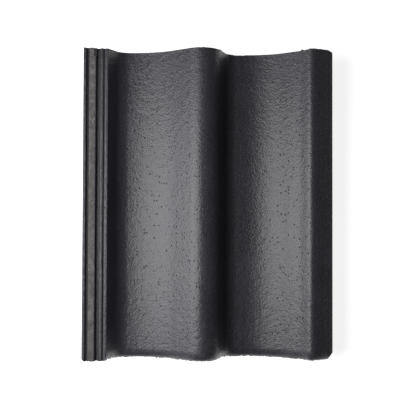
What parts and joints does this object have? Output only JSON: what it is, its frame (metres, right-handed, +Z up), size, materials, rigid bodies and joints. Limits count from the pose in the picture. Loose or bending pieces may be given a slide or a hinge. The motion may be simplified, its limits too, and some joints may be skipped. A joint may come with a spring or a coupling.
{
  "type": "concrete roof tile",
  "caption": "Interlocking double-roll concrete roof tile with a ribbed underlock, an overlock that forms the second roll, a rolled nose, hanging nibs and weather bars.",
  "frame": {"origin": "centre of the tile's plan outline, at the level floor that the tile lies on", "axes": "+X across the tile from the underlock edge to the overlock edge, +Y from the nose to the head, +Z up from the floor. The tile lies face up on its nibs and its first weather bar, so its own length slopes up to the head by 1.6 degrees"},
  "size_m": [0.338, 0.4212, 0.0693],
  "materials": {
    "concrete": "cast concrete with a satin near-black coating on the weathered face, bare grey concrete on the outer underlock lands and the underside"
  },
  "bodies": {
    "root": {"roof_tile": "concrete"}
  },
  "joints": []
}
